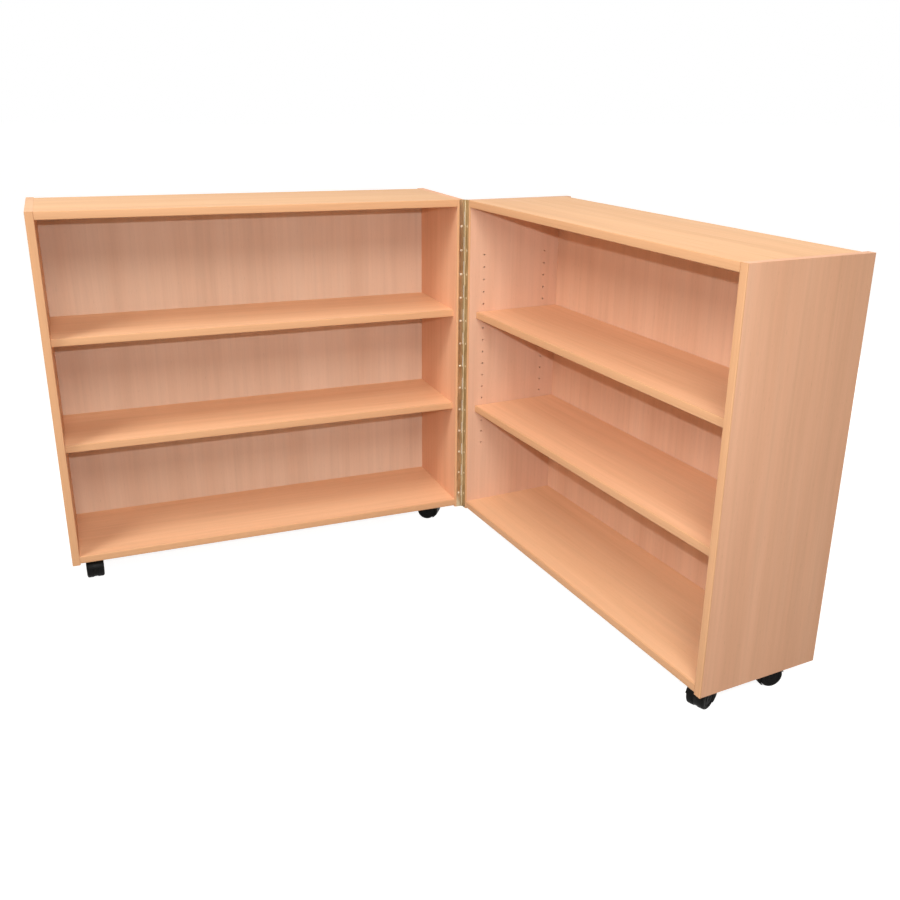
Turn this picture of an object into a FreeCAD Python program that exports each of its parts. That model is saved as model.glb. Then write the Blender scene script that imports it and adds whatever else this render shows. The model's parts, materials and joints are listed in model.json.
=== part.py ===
"""Folding bookcase: two open cases on swivel castors, joined by a full-height piano hinge.

Millimetres, +Z up. The origin is on the floor, under the middle of the half-open bookcase's box.
Every piece of a case is drawn in its case frame and then carried to its place by case_placement:
x runs from the hinge pin along the case's front, y runs from the hinge pin towards the back, and
z = 0 is the bottom end of the side panels. The left case lies on the -x side of the pin and the
right case on the +x side, so a mirrored piece only swaps the sign called hand.
"""
import FreeCAD, Part
import math
import os
import Sketcher
from FreeCAD import Placement, Rotation, Vector

LEFT, RIGHT = -1, 1

# Small round forms that repeat are drawn with flats, so that the whole model stays light.
PEG_FLATS, SHAFT_FLATS, ROLL_FLATS, WHEEL_FLATS = 6, 8, 10, 24

SIZES = {
    # carcass
    "case_width": 1010, "side_height": 840, "case_depth": 300, "board": 18,
    "side_foot": 4, "rear_inset": 16, "shelf_setback": 23,
    "lipping": 3, "lipping_bevel": 1.2,
    # dowels between boards
    "dowel_diameter": 8, "dowel_length": 30, "dowel_gap": 0.05, "dowel_margin": 55,
    # shelf holes and shelf supports
    "pin_diameter": 5, "pin_depth": 12, "pin_pitch": 32, "pin_rows": 17, "pin_gap": 0.05,
    "pin_top": 702, "pin_front": 44, "pin_span": 180, "upper_row": 5, "lower_row": 13,
    "support_width": 8, "ledge_length": 9, "ledge_thickness": 1.5, "support_drop": 5,
    "flange_rise": 4, "flange_thickness": 0.8, "shelf_end_gap": 1,
    # piano hinge
    "fold_open": 94.7, "leaf_cover": 13, "leaf_thickness": 1, "leaf_gap": 1.4,
    "knuckle_diameter": 4.8, "knuckles": 27, "knuckle_gap": 0.3, "running_gap": 0.05,
    "screw_count": 13, "screw_foot": 42, "screw_headroom": 66, "screw_head": 6,
    "screw_head_height": 0.4, "screw_shank": 3, "screw_length": 16, "screw_hole_gap": 0.2,
    # castors
    "wheel_diameter": 50, "tread_width": 15.7, "tread_shoulder": 3, "wheel_gap": 0.3,
    "web_width": 8, "axle_diameter": 6, "axle_cover": 3, "castor_trail": 24,
    "fender_gap": 0.6, "hood_wall": 1.4, "nose_reach": 8, "nose_corner": 5,
    "boss_diameter": 18, "boss_height": 2.5, "collar_height": 2.5, "collar_width": 16,
    "stem_diameter": 8, "stem_in_board": 14, "stem_in_hood": 12,
    "castor_side": 50, "castor_front": 63, "castor_rear": 104,
}

# Resting turn of each castor's nose about its stem, in degrees from its case's x axis.
CASTORS = {
    ("left", "front", "outer"): 89, ("left", "front", "hinge"): -35,
    ("left", "rear", "outer"): 158, ("left", "rear", "hinge"): 34,
    ("right", "front", "outer"): 110, ("right", "front", "hinge"): -86,
    ("right", "rear", "outer"): -105, ("right", "rear", "hinge"): 62,
}

doc = FreeCAD.newDocument("FoldingBookcase")
sheet = doc.addObject("Spreadsheet::Sheet", "Sizes")
for row, (alias, size) in enumerate(SIZES.items(), start=1):
    sheet.set(f"A{row}", alias)
    sheet.set(f"B{row}", str(size))
    sheet.setAlias(f"B{row}", alias)
doc.recompute()


def number(formula):
    """The value of a formula in the spreadsheet's aliases."""
    return float(sheet.evalExpression(str(formula)))


def bound(formula):
    """A formula that other objects can use: each alias gets the spreadsheet's name."""
    words = []
    for word in str(formula).replace("(", "( ").replace(")", " )").split():
        words.append(f"Sizes.{word}" if word in SIZES else word)
    return " ".join(words)


def bind(thing, **formulas):
    for name, formula in formulas.items():
        thing.setExpression(name, bound(formula))


# Sizes that follow from the ones above, as formulas
inner_width = "( case_width - 2 * board )"
board_depth = "( case_depth - rear_inset )"
bay_depth = "( case_depth - rear_inset - board )"
bottom_board = "( side_foot )"
top_board = "( side_height - board )"
upper_shelf = "( pin_top - upper_row * pin_pitch - support_drop )"
lower_shelf = "( pin_top - lower_row * pin_pitch - support_drop )"
knuckle_radius = "( knuckle_diameter / 2 )"
pin_bore = "( knuckle_diameter / 2 - leaf_thickness )"
leaf_face = "( leaf_gap / 2 )"
front = "( leaf_gap / 2 + leaf_thickness )"
screw_pitch = "( side_height - screw_foot - screw_headroom ) / ( screw_count - 1 )"
outside = "( knuckle_diameter / 2 + knuckle_gap )"
wheel_radius = "( wheel_diameter / 2 )"
fender_inside = "( wheel_diameter / 2 + fender_gap )"
fender_outside = "( wheel_diameter / 2 + fender_gap + hood_wall )"
hood_top = "( wheel_diameter + fender_gap + hood_wall )"
hood_width = "( web_width + 2 * wheel_gap + 2 * tread_width )"
castor_height = "( wheel_diameter + fender_gap + hood_wall + boss_height + collar_height )"
side_bottom = f"( {castor_height} - side_foot )"


# ---------------------------------------------------------------- sketches and features

def origin_feature(body, role):
    return next(feature for feature in body.Origin.OriginFeatures if feature.Role == role)


def new_body(name):
    return doc.addObject("PartDesign::Body", name)


def new_sketch(body, name, plane, offset=None):
    sketch = body.newObject("Sketcher::SketchObject", f"{body.Name}_{name}")
    sketch.AttachmentSupport = [(origin_feature(body, plane), "")]
    sketch.MapMode = "FlatFace"
    if offset is not None:
        sketch.setExpression("AttachmentOffset.Base.z", bound(offset))
    return sketch


def hold(sketch, kind, geometry, end, formula):
    """Tie one coordinate of a point to a formula."""
    index = sketch.addConstraint(
        Sketcher.Constraint(kind, -1, 1, geometry, end, number(formula)))
    sketch.setExpression(f"Constraints[{index}]", bound(formula))


def polygon(sketch, corners):
    """A closed outline of straight lines; each corner is a pair of formulas."""
    points = [Vector(number(x), number(y), 0) for x, y in corners]
    first = sketch.GeometryCount
    for index, point in enumerate(points):
        sketch.addGeometry(Part.LineSegment(point, points[(index + 1) % len(points)]))
    for index, (x, y) in enumerate(corners):
        after = first + (index + 1) % len(corners)
        sketch.addConstraint(Sketcher.Constraint("Coincident", first + index, 2, after, 1))
        hold(sketch, "DistanceX", first + index, 1, x)
        hold(sketch, "DistanceY", first + index, 1, y)


def rectangle(sketch, x0, y0, x1, y1):
    polygon(sketch, [(x0, y0), (x1, y0), (x1, y1), (x0, y1)])


def ring(x, y, radius, flats, first=0.0, steps=None):
    """Corners on a circle, counted from an angle given in steps of the ring."""
    turns = [2 * math.pi * (first + step) / flats for step in range(steps or flats)]
    return [(f"{x} + {math.cos(turn):.9f} * {radius}", f"{y} + {math.sin(turn):.9f} * {radius}")
            for turn in turns]


def around(radius, flats):
    """The corner radius of a ring whose flats touch a circle."""
    return f"( {radius} ) * {1 / math.cos(math.pi / flats):.9f}"


def hole(sketch, x, y, radius, flats=PEG_FLATS):
    """A flat-sided outline that clears a round peg of this radius, with a corner at the top."""
    polygon(sketch, ring(x, y, around(radius, flats), flats, first=0.5))


def pad(body, sketch, length, midplane=False, backwards=False):
    feature = body.newObject("PartDesign::Pad", f"{sketch.Name}_pad")
    feature.Profile = sketch
    bind(feature, Length=length)
    feature.Midplane = midplane
    feature.Reversed = backwards
    return feature


def pocket(body, sketch, depth=None, backwards=False):
    """Cut to a depth, or right through both ways where no depth is given."""
    feature = body.newObject("PartDesign::Pocket", f"{sketch.Name}_pocket")
    feature.Profile = sketch
    if depth is None:
        feature.Type = "ThroughAll"
        feature.Midplane = True
    else:
        bind(feature, Length=depth)
    feature.Reversed = backwards
    return feature


def repeat(body, feature, axis, spacing, count):
    """A row of copies along an axis of the body."""
    pattern = body.newObject("PartDesign::LinearPattern", f"{feature.Name}_row")
    pattern.Originals = [feature]
    pattern.Direction = (origin_feature(body, axis), [""])
    bind(pattern, Length=f"( {spacing} ) * ( {count} - 1 )", Occurrences=count)
    body.Tip = pattern
    return pattern


def mirror(body, feature, plane):
    copy = body.newObject("PartDesign::Mirrored", f"{feature.Name}_mirror")
    copy.Originals = [feature]
    copy.MirrorPlane = (origin_feature(body, plane), [""])
    body.Tip = copy
    return copy


# ---------------------------------------------------------------- nodes and their places

nodes = {}


def node(name, thing):
    thing.Label = name
    nodes[name] = thing
    return thing


def group(name, things):
    compound = doc.addObject("Part::Compound", name)
    compound.Links = things
    return node(name, compound)


def hinge_place():
    """The hinge pin's foot in the part's frame, from the half-open bookcase's box."""
    turn = math.radians(number("fold_open") - 180)
    reach_x = number(outside) + number("case_width")
    reach_y = number(front) + number("case_depth")
    right_end = reach_x * math.cos(turn) - reach_y * math.sin(turn)
    front_end = reach_x * math.sin(turn) + number(front) * math.cos(turn)
    return Vector((reach_x - right_end) / 2, -(reach_y + front_end) / 2, 0)


def case_placement(hand, x=0, y=0, z=0, turn=0):
    """Carry a point of a case frame, and a turn about Z, to the part's frame."""
    local = Placement(Vector(x, y, z), Rotation(Vector(0, 0, 1), turn))
    swing = Rotation(Vector(0, 0, 1), number("fold_open") - 180 if hand == RIGHT else 0)
    foot = hinge_place() + Vector(0, 0, number(side_bottom))
    return Placement(foot, swing) * local


def across(hand, formula):
    """The x of something a distance from the hinge side's outer face, across its case."""
    return hand * number(f"{outside} + {formula}")


def prism(name, corner_radius, height, flats):
    """An upright peg with its corners on a circle."""
    peg = doc.addObject("Part::Prism", name)
    peg.Polygon = flats
    bind(peg, Circumradius=corner_radius, Height=height)
    return peg


# ---------------------------------------------------------------- boards

def side_panel(name, hand, inward, board_levels, pin_holes):
    """A side, drawn with its inner face on the YZ plane. inward is the inner face's way along x."""
    body = new_body(name)
    outline = new_sketch(body, "outline", "YZ_Plane")
    rectangle(outline, "lipping", "0", "case_depth", "side_height")
    pad(body, outline, "board", backwards=inward > 0)
    drilling = new_sketch(body, "dowels", "YZ_Plane")
    for level in board_levels:
        for depth in ("dowel_margin", f"( {board_depth} - dowel_margin )"):
            hole(drilling, depth, f"( {level} + board / 2 )",
                 "dowel_diameter / 2 + dowel_gap")
    pocket(body, drilling, "dowel_length / 2 + dowel_gap", backwards=inward < 0)
    if pin_holes:
        rows = new_sketch(body, "pin_holes", "YZ_Plane")
        lowest = "( pin_top - pin_pitch * ( pin_rows - 1 ) )"
        for depth in ("pin_front", "( pin_front + pin_span )"):
            hole(rows, depth, lowest, "pin_diameter / 2")
        holes = pocket(body, rows, "pin_depth", backwards=inward < 0)
        repeat(body, holes, "Z_Axis", "pin_pitch", "pin_rows")
    from_hinge = "board" if hand == inward else "( case_width - board )"
    body.Placement = case_placement(hand, across(hand, from_hinge), number(front))
    return node(name, body)


def cross_board(name, hand, level, start, end, dowelled=True, end_gap="0", stem_holes=False):
    """A top, bottom or shelf, drawn about the middle of the case from depth start to end."""
    body = new_body(name)
    outline = new_sketch(body, "outline", "YZ_Plane")
    rectangle(outline, start, "0", end, "board")
    pad(body, outline, f"{inner_width} - 2 * {end_gap}", midplane=True)
    if dowelled:
        drilling = new_sketch(body, "dowels", "YZ_Plane", offset=f"{inner_width} / 2")
        for depth in ("dowel_margin", f"( {board_depth} - dowel_margin )"):
            hole(drilling, depth, "board / 2", "dowel_diameter / 2 + dowel_gap")
        holes = pocket(body, drilling, "dowel_length / 2 + dowel_gap")
        mirror(body, holes, "YZ_Plane")
    if stem_holes:
        sockets = new_sketch(body, "stem_holes", "XY_Plane")
        for x in ("( case_width / 2 - castor_side )", "( castor_side - case_width / 2 )"):
            for depth in ("castor_front", "( case_depth - castor_rear )"):
                polygon(sockets, ring(x, depth, "( stem_diameter / 2 )", SHAFT_FLATS))
        pocket(body, sockets, "stem_in_board", backwards=True)
    body.Placement = case_placement(
        hand, across(hand, "( case_width / 2 )"), number(front), number(level))
    return node(name, body)


def lipping_strip(name, length):
    """A strip with two bevelled front corners, its back on y = lipping and its run along z."""
    body = new_body(name)
    outline = new_sketch(body, "outline", "XY_Plane")
    rectangle(outline, "0", "0", "board", "lipping")
    strip = pad(body, outline, length)
    doc.recompute()
    front_edges = [f"Edge{index}" for index, edge in enumerate(strip.Shape.Edges, start=1)
                   if edge.BoundBox.ZLength > number(length) / 2 and edge.BoundBox.YMax < 1e-6]
    bevel = body.newObject("PartDesign::Chamfer", f"{name}_bevel")
    bevel.Base = (strip, front_edges)
    bind(bevel, Size="lipping_bevel")
    return body


def upright_strip(name, hand, inward):
    strip = lipping_strip(name, "side_height")
    from_hinge = "board" if hand == inward else "( case_width - board )"
    x = across(hand, from_hinge) - (number("board") if inward > 0 else 0)
    strip.Placement = case_placement(hand, x, number(front))
    return strip


def level_strip(name, hand, level, start, end_gap="0"):
    length = f"( {inner_width} - 2 * {end_gap} )"
    strip = lipping_strip(name, length)
    x = across(hand, "( case_width / 2 )") - number(length) / 2
    place = case_placement(hand, x, number(f"{front} + {start}"), number(level))
    lay_down = Rotation(Vector(0, 0, 1), Vector(1, 0, 0))
    strip.Placement = place * Placement(Vector(0, 0, number("board")), lay_down)
    return strip


def dowels(name, hand, levels):
    """Dowels across every joint between a cross board and the two sides."""
    things = []
    for level in levels:
        for depth in ("dowel_margin", f"{board_depth} - dowel_margin"):
            for joint in ("board", "( case_width - board )"):
                peg = prism(f"{name}_{len(things) + 1}", around("dowel_diameter / 2", PEG_FLATS),
                            "dowel_length", PEG_FLATS)
                middle = Vector(across(hand, joint), number(f"{front} + {depth}"),
                                number(f"{level} + board / 2"))
                lying = Placement(Vector(-number("dowel_length") / 2, 0, 0),
                                  Rotation(Vector(0, 1, 0), 90))
                peg.Placement = case_placement(hand, *middle) * lying
                things.append(peg)
    return group(name, things)


def shelf_supports(name, hand):
    """Steel supports: a pin in the side, a thin flange beside the shelf and a ledge under it."""
    ledge = "-1 * support_drop"
    profile = [("0", "flange_rise"), ("flange_thickness", "flange_rise"),
               ("flange_thickness", ledge), ("ledge_length", ledge),
               ("ledge_length", f"{ledge} - ledge_thickness"), ("0", f"{ledge} - ledge_thickness")]
    things = []
    for row in ("upper_row", "lower_row"):
        for depth in ("pin_front", "( pin_front + pin_span )"):
            for inward, face in ((hand, "board"), (-hand, "( case_width - board )")):
                support = new_body(f"{name}_{len(things) + 1}")
                section = new_sketch(support, "section", "XZ_Plane")
                polygon(section, [(f"{inward} * {x}", z) for x, z in profile])
                pad(support, section, "support_width", midplane=True)
                pin = new_sketch(support, "pin", "YZ_Plane")
                hole(pin, "0", "0", "pin_diameter / 2 - pin_gap")
                pad(support, pin, "pin_depth - pin_gap", backwards=inward > 0)
                support.Placement = case_placement(
                    hand, across(hand, face), number(f"{front} + {depth}"),
                    number(f"pin_top - {row} * pin_pitch"))
                things.append(support)
    return group(name, things)


# ---------------------------------------------------------------- piano hinge

def hinge_leaf(name, hand, first_slot, slots):
    """A flat leaf rolled round the pin, with slots where the other leaf's knuckles run."""
    sign = "1" if hand == RIGHT else "-1"
    edge = f"( {outside} + leaf_cover )"
    roll = [(f"sqrt( {knuckle_radius} ^ 2 - {front} ^ 2 )", front)]
    roll += ring("0", "0", knuckle_radius, ROLL_FLATS, first=2, steps=ROLL_FLATS - 1)
    roll += [(f"sqrt( {knuckle_radius} ^ 2 - {leaf_face} ^ 2 )", leaf_face),
             (edge, leaf_face), (edge, front)]
    body = new_body(name)
    section = new_sketch(body, "section", "XY_Plane")
    polygon(section, [(f"{sign} * ( {x} )", y) for x, y in roll])
    hole(section, "0", "0", pin_bore)
    pad(body, section, "side_height")

    pitch = "side_height / knuckles"
    slot = new_sketch(body, "slot", "XZ_Plane")
    rectangle(slot, f"{sign} * {outside}", f"{first_slot} * {pitch} - knuckle_gap / 2",
              f"-1 * {sign} * {outside}", f"( {first_slot} + 1 ) * {pitch} + knuckle_gap / 2")
    repeat(body, pocket(body, slot), "Z_Axis", f"2 * {pitch}", slots)

    holes = new_sketch(body, "screw_holes", "XZ_Plane")
    hole(holes, f"{sign} * ( {outside} + leaf_cover / 2 )", "screw_foot",
         "screw_shank / 2 + screw_hole_gap")
    repeat(body, pocket(body, holes), "Z_Axis", screw_pitch, "screw_count")
    body.Placement = case_placement(hand)
    return node(name, body)


def hinge_screws(name, hand):
    things = []
    count = int(number("screw_count"))
    pitch = number(screw_pitch)
    face_forward = Rotation(Vector(1, 0, 0), 90)
    for index in range(count):
        label = f"{name}_{index + 1}"
        head = prism(f"{label}_head", "screw_head / 2", "screw_head_height", PEG_FLATS)
        shank = prism(f"{label}_shank", "screw_shank / 2", "screw_length", PEG_FLATS)
        shank.Placement.Base = Vector(0, 0, -number("screw_length"))
        screw = doc.addObject("Part::Fuse", label)
        screw.Base, screw.Tool = head, shank
        spot = case_placement(hand, across(hand, "leaf_cover / 2"), number(leaf_face),
                              number("screw_foot") + index * pitch)
        screw.Placement = spot * Placement(Vector(), face_forward)
        things.append(screw)
    return group(name, things)


def hinge_pin(name):
    pin = doc.addObject("Part::Cylinder", name)
    bind(pin, Radius=f"{pin_bore} - running_gap", Height="side_height")
    pin.Placement = case_placement(LEFT)
    return node(name, pin)


# ---------------------------------------------------------------- castors

def castor_stems(name, hand):
    """Steel stems with a hexagonal collar, screwed up into the bottom board."""
    things = []
    for u in ("castor_side", "( case_width - castor_side )"):
        for depth in ("castor_front", "( case_depth - castor_rear )"):
            label = f"{name}_{len(things) + 1}"
            rod = prism(f"{label}_rod", "stem_diameter / 2",
                        "stem_in_board + collar_height + stem_in_hood", SHAFT_FLATS)
            rod.Placement.Base = Vector(0, 0, -number("stem_in_hood + collar_height"))
            collar = prism(f"{label}_collar", "collar_width / 2", "collar_height", flats=6)
            collar.Placement.Base = Vector(0, 0, -number("collar_height"))
            stem = doc.addObject("Part::Fuse", label)
            stem.Base, stem.Tool = rod, collar
            stem.Placement = case_placement(
                hand, across(hand, u), number(f"{front} + {depth}"), number(bottom_board))
            things.append(stem)
    return group(name, things)


def castor_place(case, end, side, turn):
    hand = LEFT if case == "left" else RIGHT
    u = "castor_side" if side == "hinge" else "( case_width - castor_side )"
    depth = "castor_front" if end == "front" else "( case_depth - castor_rear )"
    return case_placement(hand, across(hand, u), number(f"{front} + {depth}"),
                          -number(side_bottom), turn)


def castor_hood(name, place):
    """The moulded hood: a web between the wheels, a fender over them and a low nose."""
    axle_x, axle_z = "-1 * castor_trail", wheel_radius
    fender = ring(axle_x, axle_z, fender_outside, WHEEL_FLATS, first=6, steps=6)
    corner_x, corner_z = "( nose_reach - nose_corner )", f"( {hood_top} - nose_corner )"
    # The lower edge runs from the tail under the axle to the nose, in shares of the wheel radius.
    nose = [(f"{axle_x} + {x} * {wheel_radius}", f"{axle_z} - {z} * {wheel_radius}")
            for x, z in ((-0.25, 0.24), (0.24, 0.46), (0.6, 0.7))]
    nose += [("nose_reach - 2 * nose_corner", f"{axle_z} - 0.7 * {wheel_radius}"),
             ("nose_reach - 0.4 * nose_corner", f"{axle_z} - 0.38 * {wheel_radius}"),
             ("nose_reach", f"{axle_z} - 0.16 * {wheel_radius}")]
    nose += ring(corner_x, corner_z, "nose_corner", SHAFT_FLATS, steps=3)
    tail = ring(axle_x, axle_z, f"( {fender_inside} - running_gap )", WHEEL_FLATS, first=11, steps=1)
    body = new_body(name)
    outline = new_sketch(body, "outline", "XZ_Plane")
    polygon(outline, fender + tail + nose)
    pad(body, outline, hood_width, midplane=True)

    wheel_space = new_sketch(body, "wheel_space", "XZ_Plane", offset="web_width / 2")
    polygon(wheel_space, ring(axle_x, axle_z, fender_inside, WHEEL_FLATS))
    space = pocket(body, wheel_space, "tread_width + 2 * wheel_gap", backwards=True)
    mirror(body, space, "XZ_Plane")

    boss = new_sketch(body, "boss", "XY_Plane", offset=hood_top)
    polygon(boss, ring("0", "0", "( boss_diameter / 2 )", SHAFT_FLATS))
    pad(body, boss, "boss_height")
    socket = new_sketch(body, "stem_bore", "XY_Plane", offset=f"{hood_top} + boss_height")
    hole(socket, "0", "0", "stem_diameter / 2 + running_gap", SHAFT_FLATS)
    pocket(body, socket, "stem_in_hood + running_gap")
    cross_bore = new_sketch(body, "axle_bore", "XZ_Plane")
    polygon(cross_bore, ring(axle_x, axle_z, "( axle_diameter / 2 )", SHAFT_FLATS))
    pocket(body, cross_bore)
    body.Placement = place
    return node(name, body)


def castor_axle(name, place):
    """A steel pin pressed through the web, which both wheels turn on."""
    length = f"{hood_width} - 2 * axle_cover"
    axle = prism(name, "axle_diameter / 2", length, SHAFT_FLATS)
    lying = Placement(Vector(-number("castor_trail"), number(length) / 2, number(wheel_radius)),
                      Rotation(Vector(1, 0, 0), 90))
    axle.Placement = place * lying
    return node(name, axle)


def castor_wheels(name, place):
    """Two wheels with bevelled shoulders and a blind bore each, one each side of the web."""
    body = new_body(name)
    body.AllowCompound = True
    tread = new_sketch(body, "tread", "XZ_Plane")
    polygon(tread, ring("0", "0", around(wheel_radius, WHEEL_FLATS), WHEEL_FLATS, first=0.5))
    drum = pad(body, tread, hood_width, midplane=True)
    doc.recompute()
    rims = [f"Edge{index}" for index, edge in enumerate(drum.Shape.Edges, start=1)
            if edge.BoundBox.YLength < 1]
    shoulders = body.newObject("PartDesign::Chamfer", f"{name}_shoulders")
    shoulders.Base = (drum, rims)
    bind(shoulders, Size="tread_shoulder")
    doc.recompute()
    bore = new_sketch(body, "bore", "XZ_Plane")
    hole(bore, "0", "0", "axle_diameter / 2 + running_gap", SHAFT_FLATS)
    drilled = pocket(body, bore, f"{hood_width} - 2 * axle_cover + 2 * running_gap")
    drilled.Midplane = True
    middle = new_sketch(body, "web_space", "XY_Plane")
    rectangle(middle, "-1 * wheel_diameter", "-0.5 * web_width - wheel_gap",
              "wheel_diameter", "0.5 * web_width + wheel_gap")
    pocket(body, middle)
    axle = Placement(Vector(-number("castor_trail"), 0, number(wheel_radius)), Rotation())
    body.Placement = place * axle
    return node(name, body)


# ---------------------------------------------------------------- the two cases

def build_case(word, hand, adjustable):
    """One case: two sides, top, bottom, back, two shelves and what joins them."""
    carcass_levels = [bottom_board, top_board]
    shelf_levels = [upper_shelf, lower_shelf]
    dowelled_levels = carcass_levels if adjustable else carcass_levels + shelf_levels
    side_panel(f"{word}_hinge_side", hand, hand, dowelled_levels, adjustable)
    side_panel(f"{word}_outer_side", hand, -hand, dowelled_levels, adjustable)
    cross_board(f"{word}_top", hand, top_board, "lipping", board_depth)
    cross_board(f"{word}_bottom", hand, bottom_board, "lipping", board_depth, stem_holes=True)

    back = doc.addObject("Part::Box", f"{word}_back")
    bay_height = f"{top_board} - {bottom_board} - board"
    bind(back, Length=inner_width, Width="board", Height=bay_height)
    back_x = across(hand, "board") if hand == RIGHT else across(hand, "( case_width - board )")
    back.Placement = case_placement(hand, back_x, number(f"{front} + {bay_depth}"),
                                    number(f"{bottom_board} + board"))
    node(f"{word}_back", back)

    end_gap = "shelf_end_gap" if adjustable else "0"
    strips = [upright_strip(f"{word}_strip_hinge", hand, hand),
              upright_strip(f"{word}_strip_outer", hand, -hand),
              level_strip(f"{word}_strip_top", hand, top_board, "0"),
              level_strip(f"{word}_strip_bottom", hand, bottom_board, "0")]
    shelf_front = "( shelf_setback + lipping )"
    shelf_back = f"( {bay_depth} - shelf_end_gap )" if adjustable else bay_depth
    for place, level in (("upper", upper_shelf), ("lower", lower_shelf)):
        cross_board(f"{word}_{place}_shelf", hand, level, shelf_front, shelf_back,
                    dowelled=not adjustable, end_gap=end_gap)
        strip = level_strip(f"{word}_strip_{place}", hand, level, "shelf_setback", end_gap)
        if adjustable:
            node(f"{word}_{place}_shelf_lipping", strip)
        else:
            strips.append(strip)
    group(f"{word}_lippings", strips)
    dowels(f"{word}_dowels", hand, dowelled_levels)
    if adjustable:
        shelf_supports(f"{word}_shelf_supports", hand)
    castor_stems(f"{word}_castor_stems", hand)
    hinge_screws(f"{word}_hinge_screws", hand)


build_case("left", LEFT, adjustable=False)
build_case("right", RIGHT, adjustable=True)
hinge_leaf("left_hinge_leaf", LEFT, "1", "( knuckles - 1 ) / 2")
hinge_leaf("right_hinge_leaf", RIGHT, "0", "( knuckles + 1 ) / 2")
hinge_pin("hinge_pin")
for (case, end, side), turn in CASTORS.items():
    where = castor_place(case, end, side, turn)
    castor = f"{case}_{end}_{side}_castor"
    castor_hood(f"{castor}_hood", where)
    castor_axle(f"{castor}_axle", where)
    castor_wheels(f"{castor}_wheels", where)

doc.recompute()
for thing in doc.Objects:
    if "Invalid" in thing.State or "Error" in thing.State:
        raise RuntimeError(f"{thing.Label} failed: {thing.State}")
for name, thing in nodes.items():
    if thing.Shape.isNull() or not thing.Shape.isValid():
        raise RuntimeError(f"{name} has no valid shape")

os.makedirs("parts", exist_ok=True)
for name, thing in nodes.items():
    thing.Shape.exportStep(os.path.join("parts", f"{name}.step"))
    print(f"{name}: {len(thing.Shape.Solids)} solids, {thing.Shape.Volume / 1000:.1f} cm3")
print(len(nodes), "nodes")
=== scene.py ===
# %% [markdown]
# # A folding bookcase
# Two open cases of pale beech laminate stand half open on black castors. A piano hinge runs
# up the two edges where they meet. The measured solids arrive first, with one empty for each
# part that moves, and every finished piece is then built against them, so it can't drift.

# %% Load the measured frame
import json
import math

import bmesh
import bpy
from mathutils import Matrix, Vector

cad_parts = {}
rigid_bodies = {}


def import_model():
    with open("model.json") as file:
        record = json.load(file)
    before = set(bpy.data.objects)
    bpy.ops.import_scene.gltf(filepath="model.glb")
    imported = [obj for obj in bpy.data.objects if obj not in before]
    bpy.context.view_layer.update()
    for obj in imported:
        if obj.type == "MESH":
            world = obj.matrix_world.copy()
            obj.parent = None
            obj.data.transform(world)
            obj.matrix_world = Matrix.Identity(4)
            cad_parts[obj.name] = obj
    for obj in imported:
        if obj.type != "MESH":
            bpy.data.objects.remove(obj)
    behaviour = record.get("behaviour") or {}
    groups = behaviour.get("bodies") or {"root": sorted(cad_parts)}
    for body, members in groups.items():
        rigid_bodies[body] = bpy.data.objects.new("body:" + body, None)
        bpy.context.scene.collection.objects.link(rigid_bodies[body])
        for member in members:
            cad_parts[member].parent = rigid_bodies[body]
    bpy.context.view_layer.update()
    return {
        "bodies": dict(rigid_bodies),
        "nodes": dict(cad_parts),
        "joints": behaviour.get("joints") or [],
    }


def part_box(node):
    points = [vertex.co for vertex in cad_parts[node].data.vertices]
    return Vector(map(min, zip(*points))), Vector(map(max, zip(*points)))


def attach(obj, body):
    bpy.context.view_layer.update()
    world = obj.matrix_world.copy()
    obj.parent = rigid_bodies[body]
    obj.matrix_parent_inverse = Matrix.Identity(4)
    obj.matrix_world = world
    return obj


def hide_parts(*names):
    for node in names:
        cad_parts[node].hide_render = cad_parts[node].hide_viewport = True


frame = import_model()

# %% [markdown]
# Both cases are drawn in the same simple way: x runs along the front from the hinge pin, y
# runs towards the back and z up. The left case only needs moving to the pin. The right case
# also swings round it, and the fold joint says by how much.

# %% A frame for each case
MM = 0.001
joints = {joint["name"]: joint for joint in frame["joints"]}
pin_foot = Vector(joints["case_fold"]["pos_m"])
swing = math.radians(-joints["case_fold"]["range_deg"][0]) - math.pi
CASE = {
    "left": Matrix.Translation(pin_foot),
    "right": Matrix.Translation(pin_foot) @ Matrix.Rotation(swing, 4, "Z"),
}


def case_box(node, case):
    """The lowest and highest corner of a solid, measured in its case's own frame."""
    home = CASE[case].inverted()
    points = [home @ corner.co for corner in frame["nodes"][node].data.vertices]
    low = Vector([min(point[axis] for point in points) for axis in range(3)])
    high = Vector([max(point[axis] for point in points) for axis in range(3)])
    return low, high


for case in CASE:
    low, high = case_box(f"{case}_top", case)
    print(case, "top board in mm", [round(v / MM) for v in high - low])

# %% [markdown]
# ## Camera
# The view is from the front, a little above the tops, with the left case almost square on.
# The bookcase sits a little off the middle of the frame, and a small lens shift puts it there
# without turning the camera.

# %% Camera
scene = bpy.context.scene
camera_data = bpy.data.cameras.new("camera")
camera_data.sensor_width = 36
camera_data.lens = 38.454
camera_data.shift_x = -0.03026
camera_data.shift_y = -0.0200
camera_data.clip_end = 100
camera = bpy.data.objects.new("camera", camera_data)
camera.location = (-0.62942, -1.92978, 1.15392)
camera.rotation_euler = [math.radians(turn) for turn in (70.38386, -0.96617, -23.03693)]
scene.collection.objects.link(camera)
scene.camera = camera
print("camera lens", camera_data.lens, "mm")

# %% [markdown]
# ## Finishes
# Each finish is a small graph of nodes on one Principled shader, which keeps the values that
# are the same all over. The pattern is laid out in the case's own frame, so it follows the
# boards whichever way their case stands.

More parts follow.
